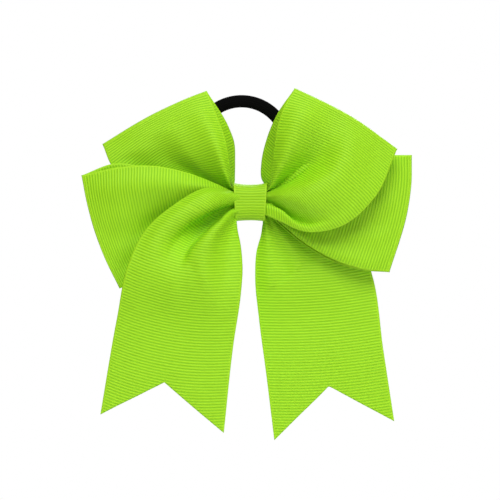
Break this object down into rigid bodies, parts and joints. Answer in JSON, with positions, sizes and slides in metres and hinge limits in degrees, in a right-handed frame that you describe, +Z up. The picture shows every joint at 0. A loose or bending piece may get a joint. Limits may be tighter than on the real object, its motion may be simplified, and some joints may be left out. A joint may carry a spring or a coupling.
{
  "type": "cheer hair bow",
  "caption": "Upright ribbon hair bow: folded loops and swallow-tail ends gathered under a wrapped centre knot, on an elastic ring for a ponytail.",
  "frame": {"origin": "middle of the hair tie's ring, on the ring's own axis and half way through its band", "axes": "front of the bow faces -Y and the ponytail goes through the ring along Y; +Z up towards the upper loops, tails down -Z; +X to the right of someone facing the bow"},
  "size_m": [0.1571, 0.0317, 0.1682],
  "materials": {
    "wide_grosgrain": "matt ribbed weave with a faint sheen",
    "narrow_grosgrain": "matt ribbed weave with a faint sheen",
    "thread": "matt",
    "hot_glue": "satin",
    "black_elastic": "matt braided cover"
  },
  "bodies": {
    "centre": {"centre_pass_1_tail_left_to_upper_right": "wide_grosgrain", "centre_pass_2_upper_right_to_lower_left": "wide_grosgrain", "centre_pass_3_lower_left_to_lower_right": "wide_grosgrain", "centre_pass_4_lower_right_to_upper_left": "wide_grosgrain", "centre_pass_5_upper_left_to_tail_right": "wide_grosgrain", "binding_thread": "thread", "centre_wrap": "narrow_grosgrain", "wrap_glue_bead": "hot_glue"},
    "upper_left": {"loop_upper_left": "wide_grosgrain"},
    "lower_left": {"loop_lower_left": "wide_grosgrain"},
    "upper_right": {"loop_upper_right": "wide_grosgrain"},
    "lower_right": {"loop_lower_right": "wide_grosgrain"},
    "left_tail": {"tail_left": "wide_grosgrain"},
    "right_tail": {"tail_right": "wide_grosgrain"},
    "tie": {"hair_tie_base": "black_elastic", "hair_tie_side_left": "black_elastic", "hair_tie_side_right": "black_elastic"},
    "tie_top": {"hair_tie_top": "black_elastic"}
  },
  "joints": [
    {"name": "upper_left_fan", "type": "hinge", "parent": "centre", "child": "upper_left", "pos_m": [0.0042, -0.006, -0.0264], "axis": [0, 1, 0], "range_deg": [-6, 6], "stiffness_Nm_per_rad": 0.05},
    {"name": "lower_left_fan", "type": "hinge", "parent": "centre", "child": "lower_left", "pos_m": [0.0042, -0.0096, -0.0264], "axis": [0, 1, 0], "range_deg": [-6, 6], "stiffness_Nm_per_rad": 0.05},
    {"name": "lower_right_fan", "type": "hinge", "parent": "centre", "child": "lower_right", "pos_m": [0.0042, -0.0078, -0.0264], "axis": [0, 1, 0], "range_deg": [-6, 6], "stiffness_Nm_per_rad": 0.05},
    {"name": "upper_right_lift", "type": "hinge", "parent": "centre", "child": "upper_right", "pos_m": [0.01078, -0.0114, -0.02401], "axis": [0.3419, 0, -0.9397], "range_deg": [0, 30], "stiffness_Nm_per_rad": 0.05},
    {"name": "tail_left_lift", "type": "hinge", "parent": "centre", "child": "left_tail", "pos_m": [-0.00221, -0.0123, -0.0301], "axis": [-0.5, 0, 0.866], "range_deg": [0, 40], "stiffness_Nm_per_rad": 0.05},
    {"name": "tail_right_lift", "type": "hinge", "parent": "centre", "child": "right_tail", "pos_m": [0.0086, -0.0051, -0.03402], "axis": [0.866, 0, 0.5], "range_deg": [0, 30], "stiffness_Nm_per_rad": 0.05},
    {"name": "hair_tie_pivot", "type": "hinge", "parent": "centre", "child": "tie", "pos_m": [0, 0, -0.0264], "axis": [-1, 0, 0], "range_deg": [0, 110]},
    {"name": "hair_tie_stretch", "type": "slide", "parent": "tie", "child": "tie_top", "axis": [0, 0, 1], "range_m": [0, 0.04], "stiffness_N_per_m": 60, "deforming": ["hair_tie_side_left", "hair_tie_side_right"]}
  ]
}
